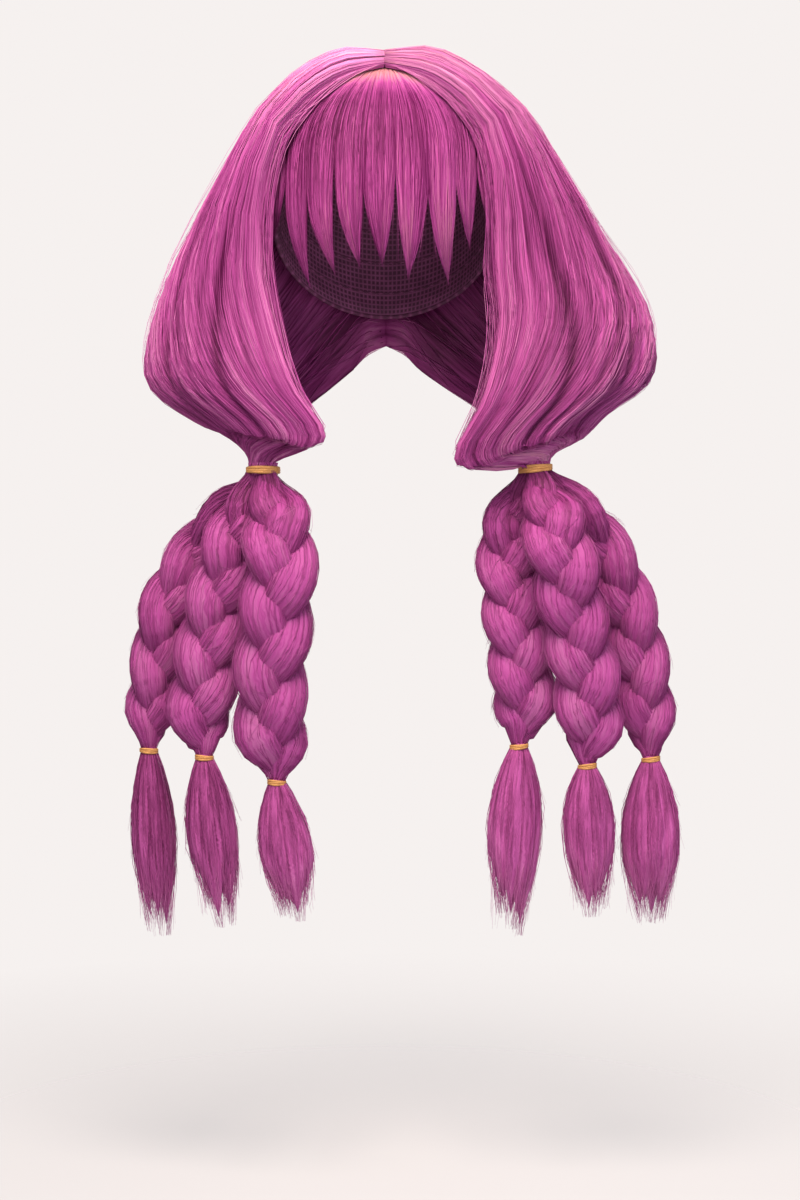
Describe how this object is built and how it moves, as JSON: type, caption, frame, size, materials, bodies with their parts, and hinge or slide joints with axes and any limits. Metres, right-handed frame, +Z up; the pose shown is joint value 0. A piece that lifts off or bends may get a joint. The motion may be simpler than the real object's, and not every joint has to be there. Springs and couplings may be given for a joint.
{
  "type": "cosplay wig",
  "caption": "Magenta costume wig: a fitted cap with a centre parting, a pointed fringe and side bunches that puff out beside the face, tied low and worked into braids with loose tails.",
  "frame": {"origin": "top of the head, on the inside of the cap in the middle plane", "axes": "+Z up, the face looks along -Y, +X is the wearer's left"},
  "size_m": [0.3634, 0.2072, 0.5923],
  "materials": {
    "hair": "smooth synthetic fibre with a soft long highlight",
    "cap_net": "stretch net with sewn wefts",
    "elastic": "matt wound elastic"
  },
  "bodies": {
    "root": {"cap": "cap_net", "side_hair_left": "hair", "side_hair_right": "hair", "bunch_tie_left": "elastic", "bunch_tie_right": "elastic", "braid_left_inner": "hair", "braid_tie_left_inner": "elastic", "tail_left_inner": "hair", "braid_left_middle": "hair", "braid_tie_left_middle": "elastic", "tail_left_middle": "hair", "braid_left_outer": "hair", "braid_tie_left_outer": "elastic", "tail_left_outer": "hair", "braid_right_inner": "hair", "braid_tie_right_inner": "elastic", "tail_right_inner": "hair", "braid_right_middle": "hair", "braid_tie_right_middle": "elastic", "tail_right_middle": "hair", "braid_right_outer": "hair", "braid_tie_right_outer": "elastic", "tail_right_outer": "hair", "fringe": "hair"}
  },
  "joints": []
}
